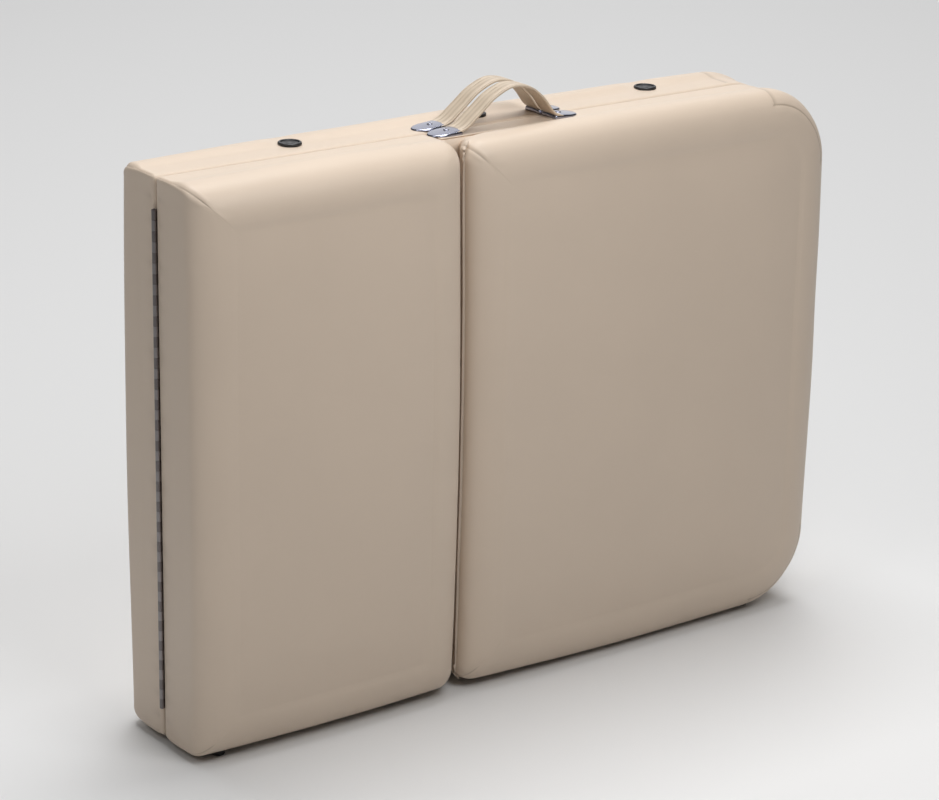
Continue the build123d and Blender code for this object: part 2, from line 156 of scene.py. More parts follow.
def pad_cover(name, x0, x1, side, low, low_r, tuck, roll, corner_low, corner_high, seed, seams):
    """Vinyl over a pad. Rows go from the hidden cap inside the board, down the inner face of the
    wrap, round its fold, up the side, over the rolled edge, a squarish quarter ellipse, in over the
    face, each row a rounded rectangle. side is +1 on the foot half and -1 on the head half.
    The face rises by cos(across) times cos(up) to the power 0.8, and falls towards its edges by a
    cosine of the distance in from the side. A side swells by one less the square of the place
    along it, and each seam is a bell-shaped groove."""
    n = 4 * BLOCK
    one = np.ones(n)
    low, low_r, tuck = low * one, low_r * one, tuck * one
    roll_in, roll_up = roll
    wall_top = HALF - roll_up
    steps = np.linspace(0, 1, 15)[1:]
    fold = np.linspace(0, np.pi / 2, 7)
    sewn_at = [0.43, 0.465, 0.482, SEWN, 0.498, 0.515, 0.55]
    lift = np.concatenate([np.linspace(0, 0.38, 7)[1:], sewn_at, np.linspace(0.6, 1, 10)])
    lift = np.minimum(lift * np.pi / 2, np.pi / 2 - 1e-6)
    inward = np.linspace(0, 1, 42)[1:-1] ** 1.25
    inset, depth, tilt, grow, scale = [], [], [], [], []

    def row(i, d, t, g, s=1.0):
        inset.append(i * one)
        depth.append(d * one)
        tilt.append(t)
        grow.append(g)
        scale.append(s)

    row(tuck, BOARD_IN, 0, 0)
    row(tuck, low + 1 * mm, 0, 0)
    row(tuck - 0.5 * mm, low - 0.4 * mm, 0, 0)
    row(np.minimum(tuck - 1 * mm, low_r + 1 * mm), low - 0.4 * mm, 0, 0)
    for a in fold:
        row(low_r * (1 - np.sin(a)), low - 0.4 * mm + (low_r + 0.4 * mm) * (1 - np.cos(a)), 0, 0)
    for t in steps:
        row(0, low + low_r + (wall_top - low - low_r) * t, 0, t)
    for a in lift:
        row(roll_in * (1 - np.cos(a) ** 0.88), wall_top + roll_up * np.sin(a) ** 0.88, a, 1)
    for t in inward:
        row(roll_in, HALF, np.pi / 2, 1, 1 - t)
    inset, depth = np.array(inset), np.array(depth)
    tilt, grow, scale = (np.array(v)[:, None] for v in (tilt, grow, scale))
    base = roll_in * (1 - np.maximum(np.cos(tilt), 0) ** 0.88) * (grow > 0)
    foam = np.clip((depth.mean(1, keepdims=True) - FRAME) / (wall_top - FRAME), 0, 1)
    foam = foam ** 2 * (3 - 2 * foam) * (grow > 0)
    radii = []
    for small, large in zip(corner_low, corner_high):
        drawn_in = base if large > 60 * mm else 0.3 * base
        radii.append(np.maximum(small + (large - small) * foam - drawn_in, 3 * mm))
    flat, out = rim(x0, x1, Z0, Z1, base, radii)
    flat = flat - out * (inset - base)[..., None]
    middle = np.array([(x0 + x1) / 2, (Z0 + Z1) / 2])
    flat = middle + (flat - middle) * scale[..., None]
    rise = np.broadcast_to(tilt, inset.shape)
    way = np.stack(
        [out[:, 0] * np.cos(rise), side * np.sin(rise), out[:, 1] * np.cos(rise)], -1
    )
    points = np.stack([flat[..., 0], side * depth, flat[..., 1]], -1)

    # Foam crowns the face and swells the sides between the corners, above the wooden frame.
    across = (flat[..., 0] - middle[0]) / ((x1 - x0) / 2)
    up = (flat[..., 1] - middle[1]) / ((Z1 - Z0) / 2)
    on_face = np.sin(rise) ** 2
    crown = np.cos(np.clip(across, -1, 1) * np.pi / 2) * np.cos(np.clip(up, -1, 1) * np.pi / 2)
    push = on_face * (6.5 * crown ** 0.8 - 1.8) * mm
    edge_x = (x1 - x0) / 2 - roll_in - np.abs(flat[..., 0] - middle[0])
    edge_z = (Z1 - Z0) / 2 - roll_in - np.abs(flat[..., 1] - middle[1])
    blend = 14 * mm
    nearest = -blend * np.logaddexp(-edge_x / blend, -edge_z / blend)
    from_side = inset + np.maximum(nearest, 0) * (on_face > 0.999)
    slope = 0.5 + 0.5 * np.cos(np.pi * np.clip(from_side / (roll_in + 65 * mm), 0, 1))
    wall = np.clip((depth - low) / (wall_top - low), 0, 1) * (rise < 0.01) * (grow > 0)
    points[..., 1] -= side * 5 * mm * np.where(rise > 0, slope, np.clip(wall, 0, 1))
    belly = np.sin(np.pi * np.clip(wall, 0, 1)) * (1 - on_face)
    push += belly * np.where(out[:, 0] < -0.7, 1.8, 0.4) * mm
    between = np.where(np.abs(out[:, 0]) > 0.7, 1 - up ** 2, 1 - across ** 2)
    swollen = 3 * mm + np.clip(between, 0, 1) * seams["bulge"]
    push += swollen * seams.get("free", 1) * np.cos(rise) ** 0.5 * foam
    at_end = np.clip(between, 0, 1) * np.cos(rise) ** 0.5 * (depth > FRAME)
    at_gap_end = seams.get("gap", 0) * (out[:, 0] > 0.7)
    at_near_end = seams.get("drawn", 0) * (out[:, 0] < -0.7)
    push += at_end * (at_gap_end - at_near_end)
    for x, y in seams.get("held", []):
        away = np.hypot(points[..., 0] - x, np.abs(points[..., 1]) - y)
        push *= 1 - np.exp(-(away / (24 * mm)) ** 4) * (out[:, 1] > 0.7) * np.cos(rise)
    live = np.maximum(np.clip(grow * 3, 0, 1), (depth > FRAME) * seams.get("rolled", 0))
    push += swell(points, seed) * 0.55 * mm * live

    # Darts at the square corners run along the diagonal; gusset seams follow the round ones.
    seam_and_pinch_shade = np.zeros(inset.shape)
    for corner, begin, reach in seams["darts"]:
        cx = x0 if corner in (0, 3) else x1
        cz = Z0 if corner in (0, 1) else Z1
        dx, dz = (1 if corner in (0, 3) else -1), (1 if corner in (0, 1) else -1)
        px, pz = (flat[..., 0] - cx) * dx, (flat[..., 1] - cz) * dz
        beside, along = np.abs(px - pz) / 2 ** 0.5, (px + pz) / 2 ** 0.5
        mask = (along < reach) * (depth > begin) * columns("t%d" % corner)
        mask = np.maximum(mask, (along < reach) * (rise > 0.3) * (beside < 12 * mm) * (along < 90 * mm))
        fade = np.clip((reach - along) / (9 * mm), 0, 1)
        line = near(beside, 0.6 * mm) * mask * fade
        push -= 0.35 * mm * line
        push += 0.45 * mm * near(beside - 4 * mm, 2.5 * mm) * mask * fade
        seam_and_pinch_shade = np.maximum(seam_and_pinch_shade, line * (0.3 + 0.6 * near(along - reach, 15 * mm) * on_face))
        tail = near(np.hypot(beside, (along - reach) * 0.6), 6 * mm) * on_face
        push -= 0.7 * mm * tail
        ray = np.cos(np.arctan2(px - pz, along - reach) * 7) * near(along - reach, 22 * mm)
        push += 0.22 * mm * ray * near(beside, 20 * mm) * on_face
    for corner in seams["gussets"]:
        arc = columns("t%d" % corner)
        edge = np.convolve(arc, [0.5, 1, 0.5], "same") > 0
        line = near(rise - SEWN * np.pi / 2, 0.016) * edge
        ends = np.zeros(n)
        ends[[corner * BLOCK, corner * BLOCK + TURN - 1]] = 1
        cross = ends * (depth > seams["cut"]) * (rise < SEWN * np.pi / 2) * (grow > 0)
        seam_and_pinch_shade = np.maximum(seam_and_pinch_shade, 0.6 * np.maximum(line, 0.6 * cross))
        push -= 0.5 * mm * np.maximum(line, 0.8 * cross)
        puff = near(rise - 0.62 * np.pi / 2, 0.09) + near(rise - 0.36 * np.pi / 2, 0.09)
        push += 0.35 * mm * puff * edge
        pucker = np.cos(np.arange(n) * 1.31) * near(rise - 0.6 * np.pi / 2, 0.22)
        push += 0.22 * mm * pucker * edge
    if seams.get("hinge"):
        # Staples beside the hinge pinch the end face at even steps. The dimples are also painted darker
        # with the seam colour, a painted shade in the creases.
        pitch = 54 * mm
        wave = np.cos(2 * np.pi * (points[..., 2] - Z0) / pitch) ** 8
        pinch = wave * near(depth - PARTING, 16 * mm) * (out[:, 0] < -0.9) * (grow > 0)
        push -= 1.1 * mm * pinch
        seam_and_pinch_shade = np.maximum(seam_and_pinch_shade, 0.25 * pinch)
    points = points + way * push[..., None]
    if seams.get("hinge"):
        # The end face swells no further than the hinge line, where the two pads meet unfolded.
        over = (points[..., 0] - hinge_line) / (1 * mm)
        eased = hinge_line + np.logaddexp(0, over) * mm
        points[..., 0] = np.where(over < 12, eased, points[..., 0])
    piece = shell(name, points, seam_and_pinch_shade)
    return piece, points, way


def vinyl_finish(name, colour, deep, grain):
    """Soft PVC: two close beiges in slow clouds, a pebbled grain of cells and fine creases."""
    material = bpy.data.materials.new(name)
    material.use_nodes = True
    nodes, link = material.node_tree.nodes, material.node_tree.links.new
    surface = nodes["Principled BSDF"]
    surface.inputs["IOR"].default_value = 1.48
    surface.inputs["Sheen Weight"].default_value = 0.08
    surface.inputs["Sheen Roughness"].default_value = 0.5
    place = nodes.new("ShaderNodeTexCoord").outputs["Object"]
    cloud = nodes.new("ShaderNodeTexNoise")
    cloud.inputs["Scale"].default_value = 7
    cloud.inputs["Detail"].default_value = 4
    link(place, cloud.inputs["Vector"])
    tone = nodes.new("ShaderNodeMix")
    tone.data_type = "RGBA"
    link(cloud.outputs["Fac"], tone.inputs["Factor"])
    tone.inputs["A"].default_value = (*[c * 0.955 for c in colour], 1)
    tone.inputs["B"].default_value = (*[min(c * 1.04, 1) for c in colour], 1)
    # A point attribute mixes in the deep colour along sewn seams, and as painted shade in the pinched
    # dimples beside the hinge.
    mark = nodes.new("ShaderNodeAttribute")
    mark.attribute_name = "seam_and_pinch_shade"
    seam_and_shade_mix = nodes.new("ShaderNodeMix")
    seam_and_shade_mix.data_type = "RGBA"
    link(mark.outputs["Fac"], seam_and_shade_mix.inputs["Factor"])
    link(tone.outputs["Result"], seam_and_shade_mix.inputs["A"])
    seam_and_shade_mix.inputs["B"].default_value = (*deep, 1)
    link(seam_and_shade_mix.outputs["Result"], surface.inputs["Base Color"])
    cells = nodes.new("ShaderNodeTexVoronoi")
    cells.feature = "DISTANCE_TO_EDGE"
    cells.inputs["Scale"].default_value = grain
    link(place, cells.inputs["Vector"])
    groove = nodes.new("ShaderNodeMapRange")
    groove.inputs["From Max"].default_value = 0.16
    link(cells.outputs["Distance"], groove.inputs["Value"])
    fine = nodes.new("ShaderNodeTexNoise")
    fine.inputs["Scale"].default_value = grain * 0.7
    fine.inputs["Detail"].default_value = 5
    link(place, fine.inputs["Vector"])
    height = nodes.new("ShaderNodeMix")
    height.inputs["Factor"].default_value = 0.55
    link(groove.outputs["Result"], height.inputs["A"])
    link(fine.outputs["Fac"], height.inputs["B"])
    bump = nodes.new("ShaderNodeBump")
    bump.inputs["Strength"].default_value = 0.22
    bump.inputs["Distance"].default_value = 0.25 * mm
    link(height.outputs["Result"], bump.inputs["Height"])
    link(bump.outputs["Normal"], surface.inputs["Normal"])
    gloss = nodes.new("ShaderNodeMapRange")
    gloss.inputs["To Min"].default_value = 0.40
    gloss.inputs["To Max"].default_value = 0.54
    link(cloud.outputs["Fac"], gloss.inputs["Value"])
    link(gloss.outputs["Result"], surface.inputs["Roughness"])
    return material


vent_lo, vent_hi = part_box("vent_discs")
vent_y = (vent_lo.y + vent_hi.y) / 2
vent_r = (vent_hi.y - vent_lo.y) / 2
vent_x = (vent_lo.x + vent_r, (vent_lo.x + vent_hi.x) / 2, vent_hi.x - vent_r)

vinyl = vinyl_finish("beige_vinyl", (0.665, 0.545, 0.434), (0.22, 0.16, 0.11), 1100)

foot_cover, foot_points, foot_way = pad_cover(
    "foot_cover", pad_lo.x, pad_hi.x, 1, PARTING, 5 * mm, TUCK, (ROLL_IN, ROLL_UP),
    (5 * mm, FAR_R, FAR_R, 5 * mm), (11 * mm, FAR_R, FAR_R, 11 * mm), 3,
    {"darts": [(0, 9 * mm, 29 * mm), (3, 9 * mm, 29 * mm)], "gussets": [1, 2],
     "cut": 3 * mm, "hinge": True, "bulge": 3.5 * mm,
     "held": [(x, vent_y) for x in vent_x]},
)
foot_cover.data.materials.append(vinyl)
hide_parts("foot_cushion", "foot_cover_band")
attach(foot_cover, "foot_half")

# ---- Seat pad cover --------------------------------------------------------------------------
# The fixed pad beside the hinge, on the head half. It is covered like the foot pad, down to the
# parting plane on three sides, but its fourth side only goes down to the frame at the gap.
seat_lo, seat_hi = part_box("seat_cushion")
FRAME_TOP = -seat_hi.y
at_gap = columns("t1", "s1", "t2")
seat_cover, _, _ = pad_cover(
    "seat_cover", seat_lo.x, seat_hi.x, -1,
    PARTING + (FRAME_TOP - PARTING) * at_gap, 5 * mm, TUCK,
    (ROLL_IN, ROLL_UP),
    (5 * mm, 5 * mm, 5 * mm, 5 * mm), (11 * mm, 20 * mm, 20 * mm, 11 * mm), 5,
    {"darts": [(0, 9 * mm, 29 * mm), (3, 9 * mm, 29 * mm), (1, 50 * mm, 16 * mm),
               (2, 50 * mm, 16 * mm)], "gussets": [], "cut": 0, "hinge": True, "bulge": 3.5 * mm,
     "gap": 2.5 * mm},
)
seat_cover.data.materials.append(vinyl)
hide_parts("seat_cushion")
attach(seat_cover, "head_half")

# A strip of the same vinyl closes the bottom of the gap, stapled across the frame.
flap_y = -FRAME_TOP + 0.1 * mm
flap_u = np.linspace(0, 1, 49)[:, None, None]
flap_round = np.linspace(0, 2 * np.pi, 40, endpoint=False)[None, :, None]
flap_x = seat_hi.x + (18 + 27 * np.sign(np.cos(flap_round)) * np.abs(np.cos(flap_round)) ** 0.3) * mm
flap_dip = 0.5 * mm * np.sin(flap_round) - 0.15 * mm * np.sin(flap_u * 60) * (np.sin(flap_round) < 0)
flap_z = Z0 + 1.6 * mm + (Z1 - Z0 - 3.2 * mm) * flap_u
gap_flap = shell("gap_flap", np.concatenate(
    [flap_x + 0 * flap_u, flap_y + flap_dip + 0 * flap_u, flap_z + 0 * flap_x], -1))
gap_flap.data.materials.append(vinyl)
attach(gap_flap, "head_half")

# ---- Backrest pad cover ----------------------------------------------------------------------
# The tilting pad. Its edge at the gap is a full roll about the pivot, and the vinyl is tucked
# round the edge of its board on the other three sides.
back_lo, back_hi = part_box("backrest_cushion")
BACK_LOW = -back_hi.y
roll_r = (HALF - BACK_LOW) / 2
at_roll = columns("t0", "s3", "t3")
for _ in range(60):
    at_roll = (np.roll(at_roll, 1) + 2 * at_roll + np.roll(at_roll, -1)) / 4
swell_free = 1 - at_roll
for _ in range(400):
    swell_free = (np.roll(swell_free, 1) + 2 * swell_free + np.roll(swell_free, -1)) / 4
back_low_r = 2.5 * mm + (roll_r - 2.5 * mm) * at_roll
back_cover, back_points, back_way = pad_cover(
    "backrest_cover", back_lo.x, back_hi.x, -1, BACK_LOW, back_low_r,
    np.maximum(back_low_r + 1.5 * mm, TUCK), (ROLL_IN, roll_r),
    (14 * mm, FAR_R, FAR_R, 14 * mm), (24 * mm, FAR_R, FAR_R, 24 * mm), 9,
    {"darts": [(0, 52 * mm, 32 * mm), (3, 52 * mm, 32 * mm)], "gussets": [1, 2],
     "cut": BACK_LOW + 6 * mm, "bulge": 4.5 * mm, "free": swell_free, "drawn": 6 * mm,
     "rolled": at_roll},
)
back_cover.data.materials.append(vinyl)
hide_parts("backrest_cushion")
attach(back_cover, "backrest")

# ---- Vinyl round the head frame --------------------------------------------------------------
# Below the backrest the head frame shows as a band: vinyl glued round the rails with its edges
# folded under, from the gap round the far end and back.
_, frame_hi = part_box("head_cover_band")


def frame_wrap(name, x0, x1, seed):
    """A folded band that follows the outline. Its section, the same at every place of the
    outline, runs down the outside, round the edge of the frame, and in under it."""
    zero = np.zeros((1, 1))
    square = np.full((1, 1), 3 * mm)
    flat, out = rim(x0, x1, Z0, Z1, zero, [square, zero + FAR_R, zero + FAR_R, square])
    flat, out = flat[0, TURN:3 * BLOCK], out[TURN:3 * BLOCK]
    top, low, fold, skin = FRAME_TOP - 0.3 * mm, PARTING - 0.4 * mm, 5 * mm, 1 * mm
    a = np.linspace(0, np.pi / 2, 9)
    down = np.linspace(top, low + fold, 12)[:-1]
    inset = np.concatenate([0 * down, fold * (1 - np.cos(a)), [TUCK, TUCK]])
    depth = np.concatenate([down, low + fold * (1 - np.sin(a)), [low, low + skin]])
    inner = fold - skin
    inset = np.concatenate([inset, (skin + inner * (1 - np.cos(a)))[::-1], 0 * down + skin])
    depth = np.concatenate([depth, (low + fold - inner * np.sin(a))[::-1], down[::-1]])
    points = np.zeros((len(flat), len(inset), 3))
    outer = np.zeros(len(inset))
    outer[:len(down)] = np.sin(np.pi * (top - down) / (top - low - fold))
    push = (0.5 * swell(points + flat[:, None, [0, 1, 1]], seed) + 0.3) * mm * outer
    points[..., 0] = flat[:, None, 0] + out[:, None, 0] * (push - inset)
    points[..., 2] = flat[:, None, 1] + out[:, None, 1] * (push - inset)
    points[..., 1] = -depth
    return shell(name, points, np.zeros(points.shape[:2]))


head_band = frame_wrap("head_frame_wrap", seat_hi.x - 5.5 * mm, frame_hi.x, 21)
head_band.data.materials.append(vinyl)
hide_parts("head_cover_band")
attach(head_band, "head_half")

# ---- Handles ---------------------------------------------------------------------------------
# Two carrying straps of folded vinyl, stitched along their length into ribs. Both ends are held
# under chrome caps with a cross-head screw through each.
strap_vinyl = vinyl_finish("strap_vinyl", (0.600, 0.495, 0.380), (0.30, 0.23, 0.16), 1300)


def thread_finish():
    """Twisted thread: fine uneven bands of two browns."""
    material = bpy.data.materials.new("thread")
    material.use_nodes = True
    nodes, link = material.node_tree.nodes, material.node_tree.links.new
    surface = nodes["Principled BSDF"]
    surface.inputs["Roughness"].default_value = 0.6
    twist = nodes.new("ShaderNodeTexWave")
    twist.inputs["Scale"].default_value = 900
    twist.inputs["Distortion"].default_value = 1.5
    link(nodes.new("ShaderNodeTexCoord").outputs["Object"], twist.inputs["Vector"])
    tone = nodes.new("ShaderNodeMix")
    tone.data_type = "RGBA"
    link(twist.outputs["Fac"], tone.inputs["Factor"])
    tone.inputs["A"].default_value = (0.46, 0.36, 0.26, 1)
    tone.inputs["B"].default_value = (0.58, 0.47, 0.35, 1)
    link(tone.outputs["Result"], surface.inputs["Base Color"])
    return material


thread = thread_finish()


def stitches(name, places, ways, ups, length=2.2 * mm, thick=0.4 * mm):
    """A row of stitches: each is a short spindle, six-sided, laid along the seam."""
    t = np.array([-1, -0.6, 0, 0.6, 1])
    r = np.array([0.15, 0.8, 1.0, 0.8, 0.15])
    a = np.linspace(0, 2 * np.pi, 6, endpoint=False)
    sides = np.cross(ways, ups)
    centre = places[:, None, None, :] + ways[:, None, None, :] * (t * length / 2)[None, :, None, None]
    ring = (
        sides[:, None, None, :] * (r[:, None] * np.cos(a))[None, :, :, None]
        + ups[:, None, None, :] * (r[:, None] * np.sin(a))[None, :, :, None]
    ) * thick / 2
    points = (centre + ring).reshape(-1, 3)
    i, j = np.meshgrid(np.arange(4), np.arange(6), indexing="ij")
    k = (j + 1) % 6
    one = np.stack([i * 6 + j, i * 6 + k, (i + 1) * 6 + k, (i + 1) * 6 + j], -1).reshape(-1, 4)
    start = np.arange(len(places))[:, None, None] * 30
    quads = (one[None] + start).reshape(-1, 4).tolist()
    cap_a = (np.arange(6)[::-1][None] + start[:, 0]).tolist()
    cap_b = (np.arange(24, 30)[None] + start[:, 0]).tolist()
    mesh = bpy.data.meshes.new(name)
    mesh.from_pydata(points.tolist(), [], quads + cap_a + cap_b)
    mesh.polygons.foreach_set("use_smooth", [True] * len(mesh.polygons))
    mesh.materials.append(thread)
    piece = bpy.data.objects.new(name, mesh)
    bpy.context.scene.collection.objects.link(piece)
    return piece


for body, points, way in (("foot_half", foot_points, foot_way), ("backrest", back_points, back_way)):
    # Top stitching runs beside the gusset seams, on the face side: past the hidden, folded and
    # wall rows and the start of the roll, at the fifth of the sewn rows.
    row = 4 + 7 + 14 + 6 + 4
    places, ways, ups = [], [], []
    for corner in (1, 2):
        pick = np.arange(corner * BLOCK - 2, corner * BLOCK + TURN + 2)
        line = points[row, pick] * 0.55 + points[row + 1, pick] * 0.45
        fine = np.linspace(0, len(pick) - 1, 42)
        line = np.stack([np.interp(fine, np.arange(len(pick)), line[:, c]) for c in range(3)], -1)
        up = way[row, pick][np.round(fine).astype(int)]
        run = np.gradient(line, axis=0)
        run /= np.linalg.norm(run, axis=1)[:, None]
        places.append(line + up * 0.05 * mm)
        ways.append(run)
        ups.append(up)
    sewing = stitches(body + "_gusset_stitches", *[np.vstack(v) for v in (places, ways, ups)],
                      2.4 * mm, 0.5 * mm)
    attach(sewing, body)


def strap_route(lo, hi, count):
    """Middle line of a strap in the XZ plane, bent up gently at one cap and steeply at the
    other: knots along the way, evenly resampled and rubbed smooth by three-point means.
    Returns the places, their upward normals and their headings."""
    mid = (lo.x + hi.x) / 2
    knots = np.array([
        (-84, 2.0), (-74, 2.2), (-65, 4.5), (-48, 18), (-27, 35.5), (-8, 46.5), (10, 50.5),
        (29, 47), (47, 35.5), (60, 20), (67, 8.5), (72, 3.2), (84, 2.0),
    ]) * mm
    route = knots + [mid, Z1]
    for _ in range(2):
        step = np.concatenate([[0], np.cumsum(np.linalg.norm(np.diff(route, axis=0), axis=1))])
        even = np.linspace(0, step[-1], count)
        route = np.stack([np.interp(even, step, route[:, c]) for c in (0, 1)], -1)
        for _ in range(60):
            route[1:-1] = (route[:-2] + 2 * route[1:-1] + route[2:]) / 4
    ahead = np.gradient(route, axis=0)
    ahead /= np.linalg.norm(ahead, axis=1)[:, None]
    return route, np.stack([-ahead[:, 1], ahead[:, 0]], -1), ahead


def strap(half, y, width):
    """The strap's section carried along its route: a flat underside, rounded edges, and a top
    that swells between four rows of stitching into three ribs."""
    lo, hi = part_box(half + "_handle_strap")
    route, up, ahead = strap_route(lo, hi, 170)
    around = np.linspace(0, 2 * np.pi, 96, endpoint=False)
    across = np.sign(np.cos(around)) * np.abs(np.cos(around)) ** 0.45
    above = np.sign(np.sin(around)) * np.abs(np.sin(around)) ** 0.45
    rows = np.array([-0.82, -0.3, 0.3, 0.82])
    gap = np.abs(across[:, None] - rows).min(1)
    ribs = 0.6 * mm * (1 - near(gap, 0.10)) * (above > 0) - 0.3 * mm * near(gap, 0.08) * (above < 0)
    thick = above * 1.5 * mm + ribs * (above > 0)
    taper = 1 - 0.035 * np.cos(np.linspace(-np.pi, np.pi, len(route)))
    points = np.zeros((len(route), len(around), 3))
    points[..., 0] = route[:, None, 0] + up[:, None, 0] * thick
    points[..., 2] = route[:, None, 1] + up[:, None, 1] * thick
    points[..., 1] = y + across[None] * width / 2 * taper[:, None]
    points[..., 2] += 0.25 * mm * np.sin(np.linspace(0, 40, len(route)))[:, None] * near(gap, 0.4)
    seam_and_pinch_shade = near(gap, 0.06) * (above > -0.2) * np.ones((len(route), 1))
    piece = shell(half + "_strap", points, 0.4 * seam_and_pinch_shade)
    piece.data.materials.append(strap_vinyl)
    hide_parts(half + "_handle_strap")
    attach(piece, half + "_half")
    pick = np.arange(14, len(route) - 14, 2)
    places, ways, ups = [], [], []
    for r in rows:
        place = np.zeros((len(pick), 3))
        place[:, 0] = route[pick, 0] + up[pick, 0] * 1.55 * mm
        place[:, 2] = route[pick, 1] + up[pick, 1] * 1.55 * mm
        place[:, 1] = y + r * width / 2
        places.append(place)
        ways.append(np.stack([ahead[pick, 0], 0 * pick, ahead[pick, 1]], -1))
        ups.append(np.stack([up[pick, 0], 0 * pick, up[pick, 1]], -1))
    sewing = stitches(half + "_strap_stitches", *[np.vstack(v) for v in (places, ways, ups)])
    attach(sewing, half + "_half")


def metal_finish(name, colour, rough, scratch, metallic=1.0):
    """Metal: brushed or polished, its roughness and tint broken by fine scratches and clouds."""
    material = bpy.data.materials.new(name)
    material.use_nodes = True
    nodes, link = material.node_tree.nodes, material.node_tree.links.new
    surface = nodes["Principled BSDF"]
    surface.inputs["Metallic"].default_value = metallic
    place = nodes.new("ShaderNodeTexCoord").outputs["Object"]
    stretch = nodes.new("ShaderNodeMapping")
    stretch.inputs["Scale"].default_value = (60, 900, 900)
    link(place, stretch.inputs["Vector"])
    fine = nodes.new("ShaderNodeTexNoise")
    fine.inputs["Scale"].default_value = 1
    fine.inputs["Detail"].default_value = 6
    link(stretch.outputs["Vector"], fine.inputs["Vector"])
    cloud = nodes.new("ShaderNodeTexNoise")
    cloud.inputs["Scale"].default_value = 35
    link(place, cloud.inputs["Vector"])
    tone = nodes.new("ShaderNodeMix")
    tone.data_type = "RGBA"
    link(cloud.outputs["Fac"], tone.inputs["Factor"])
    tone.inputs["A"].default_value = (*[c * 0.86 for c in colour], 1)
    tone.inputs["B"].default_value = (*[min(c * 1.08, 1) for c in colour], 1)
    link(tone.outputs["Result"], surface.inputs["Base Color"])
    span = nodes.new("ShaderNodeMapRange")
    span.inputs["To Min"].default_value = rough * 0.7
    span.inputs["To Max"].default_value = rough * 1.4
    link(fine.outputs["Fac"], span.inputs["Value"])
    link(span.outputs["Result"], surface.inputs["Roughness"])
    bump = nodes.new("ShaderNodeBump")
    bump.inputs["Strength"].default_value = scratch
    bump.inputs["Distance"].default_value = 0.05 * mm
    link(fine.outputs["Fac"], bump.inputs["Height"])
    link(bump.outputs["Normal"], surface.inputs["Normal"])
    return material


chrome = metal_finish("chrome", (0.36, 0.37, 0.45), 0.20, 0.08)


def strap_caps(half, y):
    """Pressed chrome caps. Seen from above each is a tongue with a round outer end; its height
    swells from a thin lip there to the hooded mouth that grips the strap."""
    lo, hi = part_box(half + "_handle_caps")
    length, width, high = 41 * mm, hi.y - lo.y, hi.z - lo.z
    around = np.linspace(0, 2 * np.pi, 128, endpoint=False)
    cx, cy = np.cos(around), np.sin(around)
    # The round end is half an ellipse, and the mouth is square with small corners.
    edge_x = np.where(cx > 0, np.abs(cx) ** 0.14, cx)
    edge_y = np.sign(cy) * np.abs(cy) ** np.where(cx > 0, 0.14, 1)
    for side, name, end in ((-1, "_cap_near", lo.x), (1, "_cap_far", hi.x)):
        rows = [(0.90, 0.0), (1.0, 0.0), (1.0, 0.3), (0.985, 0.62), (0.955, 0.86), (0.91, 0.96)]
        rows += [(inset, 1.0) for inset in np.linspace(0.85, 0.04, 16)]
        points = []
        for inset, level in rows:
            px, py = edge_x * inset, edge_y * inset
            to_mouth = np.clip((px + 1) / 2, 0, 1) ** 0.7
            top = (1.5 * mm + (high - 1.5 * mm) * to_mouth) * (1 - 0.22 * py ** 2)
            x = end - side * (px + 1) / 2 * length
            points.append(np.stack([x, y + py * width / 2, Z1 + top * level], -1))
        cap = shell(half + name, np.array(points))
        cap.data.materials.append(chrome)
        if side < 0:
            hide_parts(half + "_handle_caps")
        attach(cap, half + "_half")


def cap_screws(half, y):
    """Pan-head screws: a shallow dome in polar rows, with a cross sunk in the middle."""
    lo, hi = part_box(half + "_handle_screws")
    from_end = 4.5 * mm
    on_cap = 5.0
    profile = [(3.6, -2.4), (3.9, -0.2), (3.8, 0.3), (3.4, 0.75)]
    profile += [(r, None) for r in np.linspace(3.0, 0.2, 16)]
    for k, x in enumerate((lo.x + from_end, hi.x - from_end)):
        around = np.linspace(0, 2 * np.pi, 96, endpoint=False)
        turn = 0.5 + k
        rows = []
        for r, z in profile:
            px, py = r * np.cos(around), r * np.sin(around)
            arm = np.minimum(np.abs(px), np.abs(py))
            sink = 0.9 / (1 + np.exp((arm - 0.42) * 14)) / (1 + np.exp((r - 2.1) * 6))
            z = (1.35 - r * r * 0.045) - sink if z is None else z + 0 * around
            qx = px * np.cos(turn) - py * np.sin(turn)
            qy = px * np.sin(turn) + py * np.cos(turn)
            rows.append(np.stack([x + qx * mm, y + qy * mm, Z1 + (on_cap + z) * mm], -1))
        screw = shell(half + "_cap_screw_%d" % k, np.array(rows))
        screw.data.materials.append(chrome)
        if k == 0:
            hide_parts(half + "_handle_screws")
        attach(screw, half + "_half")


for half in ("head", "foot"):
    lo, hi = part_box(half + "_handle_strap")
    middle_y = (lo.y + hi.y) / 2
    strap(half, middle_y, hi.y - lo.y)
    strap_caps(half, middle_y)
    cap_screws(half, middle_y)

# ---- Vents -----------------------------------------------------------------------------------
# Black moulded eyelets let air out of the foot pad: a rounded rim round a shallow dish.


